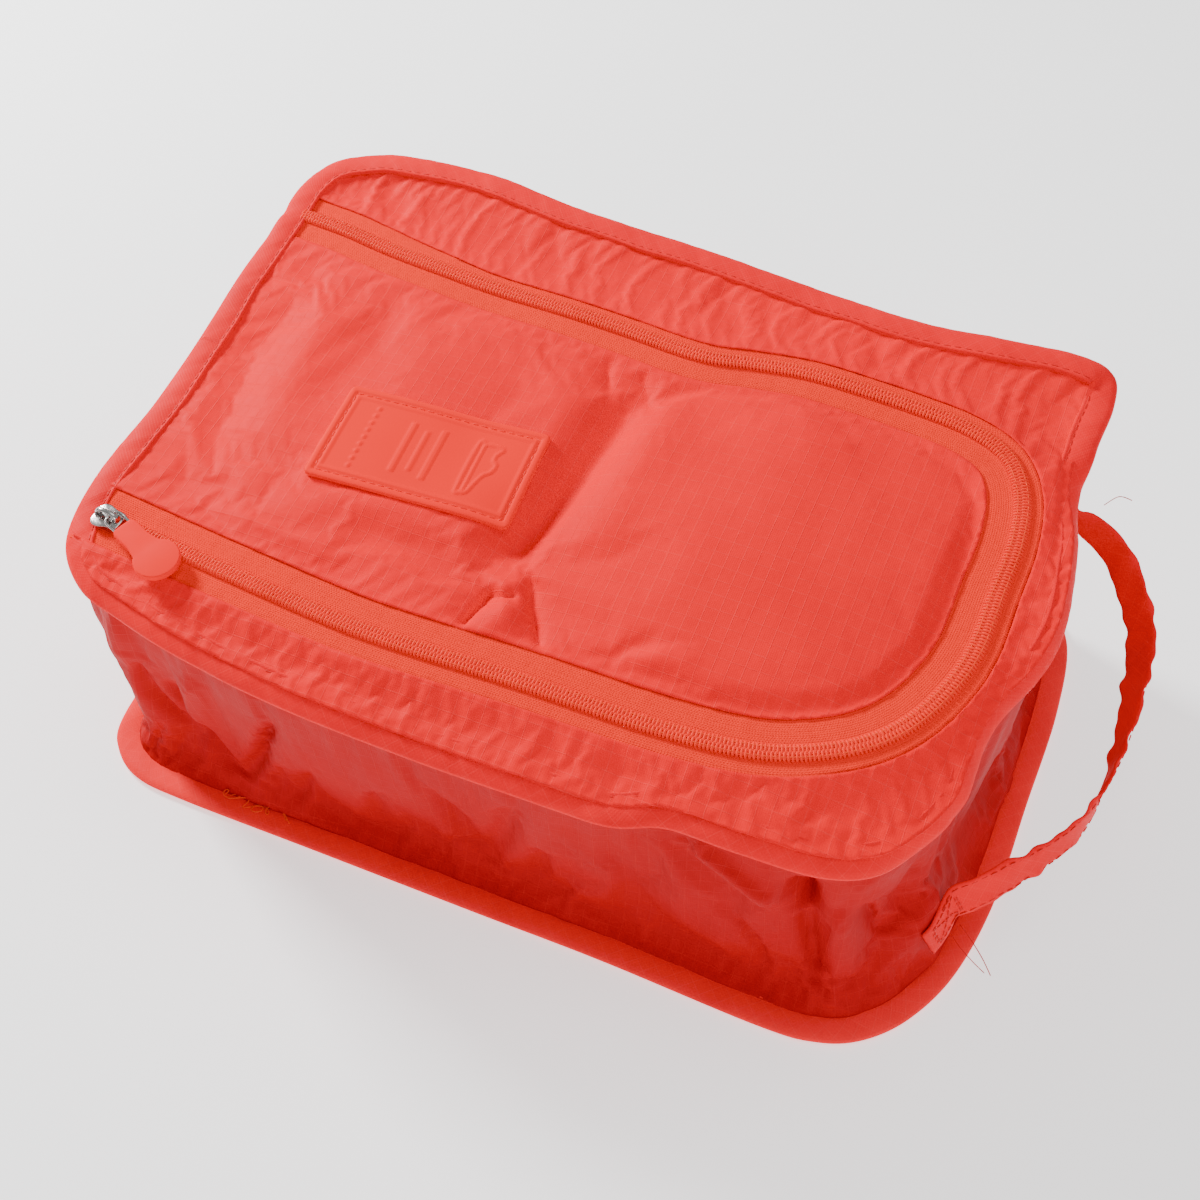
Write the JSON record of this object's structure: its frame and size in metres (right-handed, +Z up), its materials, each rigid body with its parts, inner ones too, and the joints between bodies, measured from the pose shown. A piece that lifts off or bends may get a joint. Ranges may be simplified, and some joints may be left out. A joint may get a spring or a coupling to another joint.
{
  "type": "shoe bag",
  "caption": "Soft nylon shoe bag with a U-shaped zip flap on its sloping lid, bound seams round the lid and the base, a rubber label, a puller and a side handle.",
  "frame": {"origin": "centre of the base, on the surface that the bag stands on", "axes": "+X towards the end with the handle, along the length; -Y towards the lower, front side; +Z up"},
  "size_m": [0.3318, 0.212, 0.1243],
  "materials": {
    "nylon_fabric": "coral-red ripstop nylon, slight satin sheen",
    "binding_fabric": "the same nylon, folded into binding and webbing",
    "zip_tape": "knitted polyester tape, matt",
    "zip_coil": "nylon coil, satin",
    "thread": "polyester sewing thread",
    "soft_rubber": "moulded soft rubber, matt",
    "chrome": "bright plated zinc"
  },
  "bodies": {
    "bag": {"base_panel": "nylon_fabric", "base_binding": "binding_fabric", "base_binding_thread": "thread", "side_wall": "nylon_fabric", "lid_panel": "nylon_fabric", "lid_binding": "binding_fabric", "lid_binding_thread": "thread", "zip_tape_outer": "zip_tape", "zip_coil_outer": "zip_coil", "zip_thread_outer": "thread", "handle_end_front": "binding_fabric", "handle_end_rear": "binding_fabric", "handle_stitch_front": "thread", "handle_stitch_rear": "thread"},
    "flap": {"flap_panel": "nylon_fabric", "zip_tape_inner": "zip_tape", "zip_coil_inner": "zip_coil", "zip_thread_inner": "thread", "label_patch": "soft_rubber", "label_thread": "thread"},
    "slider": {"slider_body": "chrome", "slider_bridge": "chrome"},
    "puller": {"pull_link": "chrome", "pull_tab": "soft_rubber"},
    "handle": {"handle_strap": "binding_fabric"}
  },
  "joints": [
    {"name": "flap_fold", "type": "hinge", "parent": "bag", "child": "flap", "pos_m": [-0.117, -0.00814, 0.11158], "axis": [0.2316, -0.9666, -0.1101], "range_deg": [0, 115]},
    {"name": "slider_travel", "type": "slide", "parent": "bag", "child": "slider", "axis": [0.9992, -0.0399, -0.0045], "range_m": [0, 0.17]},
    {"name": "puller_swing", "type": "hinge", "parent": "slider", "child": "puller", "pos_m": [-0.13244, -0.07556, 0.10662], "axis": [-0.3697, -0.9232, -0.1052], "range_deg": [0, 140]},
    {"name": "handle_swing", "type": "hinge", "parent": "bag", "child": "handle", "pos_m": [0.1522, 0.011, 0.0475], "axis": [0, -0.972, -0.2349], "range_deg": [-70, 70]}
  ]
}
